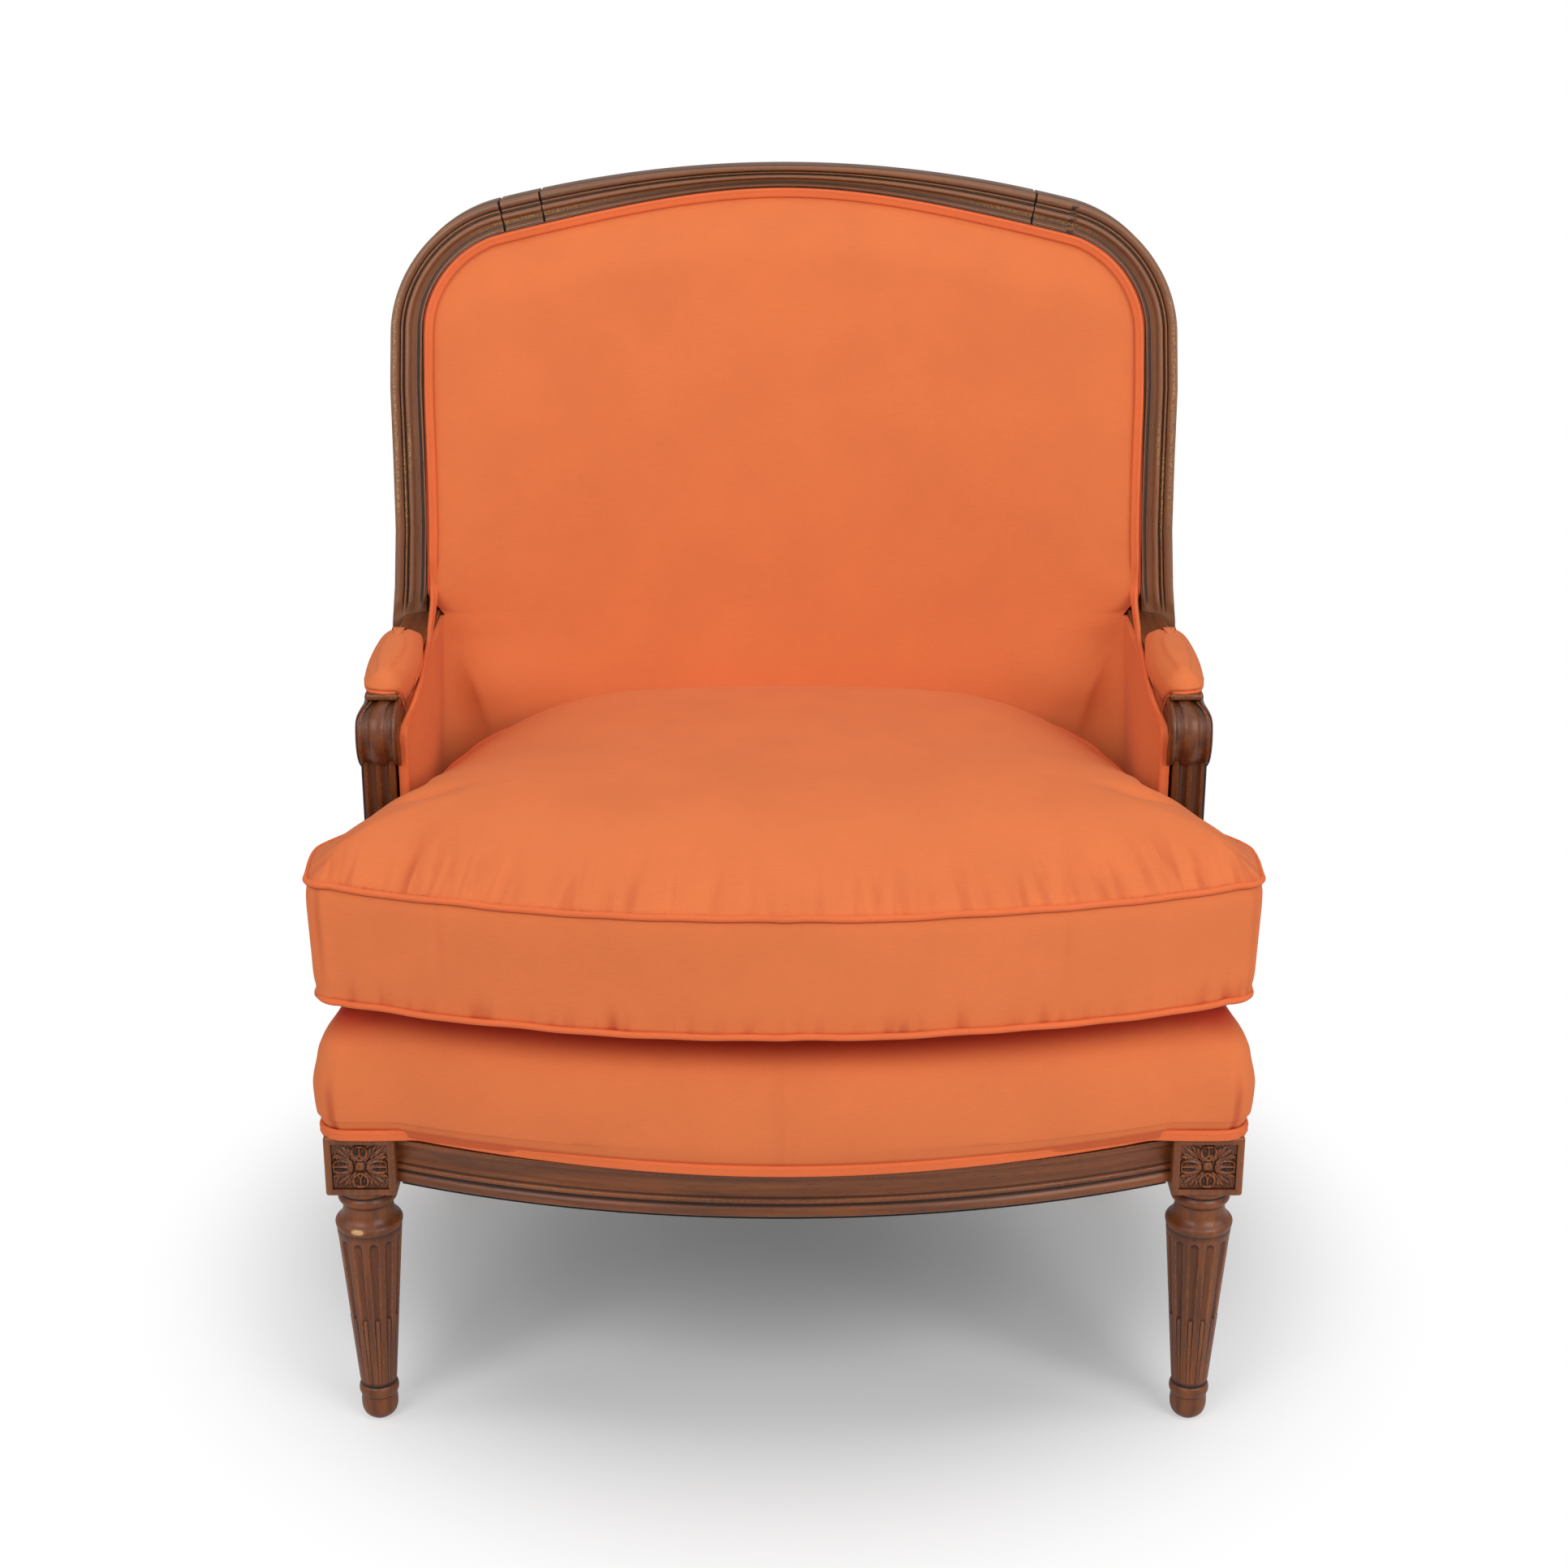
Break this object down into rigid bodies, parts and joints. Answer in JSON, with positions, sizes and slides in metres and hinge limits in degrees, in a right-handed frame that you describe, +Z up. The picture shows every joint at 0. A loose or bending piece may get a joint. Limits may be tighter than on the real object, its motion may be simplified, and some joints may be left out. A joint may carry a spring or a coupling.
{
  "type": "bergere chair",
  "caption": "Armchair with a moulded gondola back, closed padded arms, scrolled hand holds, fluted turned legs, a sprung seat and a loose T-shaped seat cushion.",
  "frame": {"origin": "on the floor, in the middle of the chair's box", "axes": "+Z up; -Y to the front, the way the chair faces; +X to the right of a person who looks at its front"},
  "size_m": [0.734, 0.6862, 0.948],
  "materials": {
    "walnut": "waxed dark brown walnut with traces of old gilding",
    "orange_cloth": "matt orange weave with a slight slub",
    "orange_welt": "matt orange piping of the same cloth",
    "jute": "coarse plain weave",
    "stuffing": "matted curled hair",
    "feather_tick": "close white cotton ticking",
    "black_cambric": "thin matt black cloth",
    "steel": "dull drawn wire"
  },
  "bodies": {
    "chair": {"front_leg_left": "walnut", "front_leg_right": "walnut", "rear_leg_stile_left": "walnut", "rear_leg_stile_right": "walnut", "front_seat_rail": "walnut", "side_seat_rail_left": "walnut", "side_seat_rail_right": "walnut", "rear_seat_rail": "walnut", "back_stay_rail": "walnut", "crest_rail": "walnut", "crest_splice_left": "walnut", "crest_splice_right": "walnut", "crest_dowels": "walnut", "arm_rail_left": "walnut", "arm_rail_right": "walnut", "arm_post_left": "walnut", "arm_post_right": "walnut", "corner_blocks": "walnut", "corner_block_screws": "steel", "seat_webbing": "jute", "seat_springs": "steel", "spring_hessian": "jute", "seat_stuffing": "stuffing", "seat_cover": "orange_cloth", "seat_double_welt": "orange_welt", "dust_cover": "black_cambric", "back_webbing": "jute", "back_hessian": "jute", "arm_hessian_left": "jute", "arm_hessian_right": "jute", "back_stuffing": "stuffing", "inside_back_cover": "orange_cloth", "inside_back_double_welt": "orange_welt", "outside_back_cover": "orange_cloth", "outside_back_double_welt": "orange_welt", "outside_arm_cover_left": "orange_cloth", "outside_arm_cover_right": "orange_cloth", "arm_pad_stuffing_left": "stuffing", "arm_pad_stuffing_right": "stuffing", "arm_pad_cover_left": "orange_cloth", "arm_pad_cover_right": "orange_cloth", "arm_pad_welt_left": "orange_welt", "arm_pad_welt_right": "orange_welt"},
    "seat_cushion": {"cushion_top_panel": "orange_cloth", "cushion_boxing": "orange_cloth", "cushion_bottom_panel": "orange_cloth", "cushion_filling": "feather_tick", "cushion_top_welt": "orange_welt", "cushion_bottom_welt": "orange_welt"}
  },
  "joints": [
    {"name": "cushion_lift", "type": "slide", "parent": "chair", "child": "seat_cushion", "axis": [0, 0, 1], "range_m": [0, 0.15]}
  ]
}
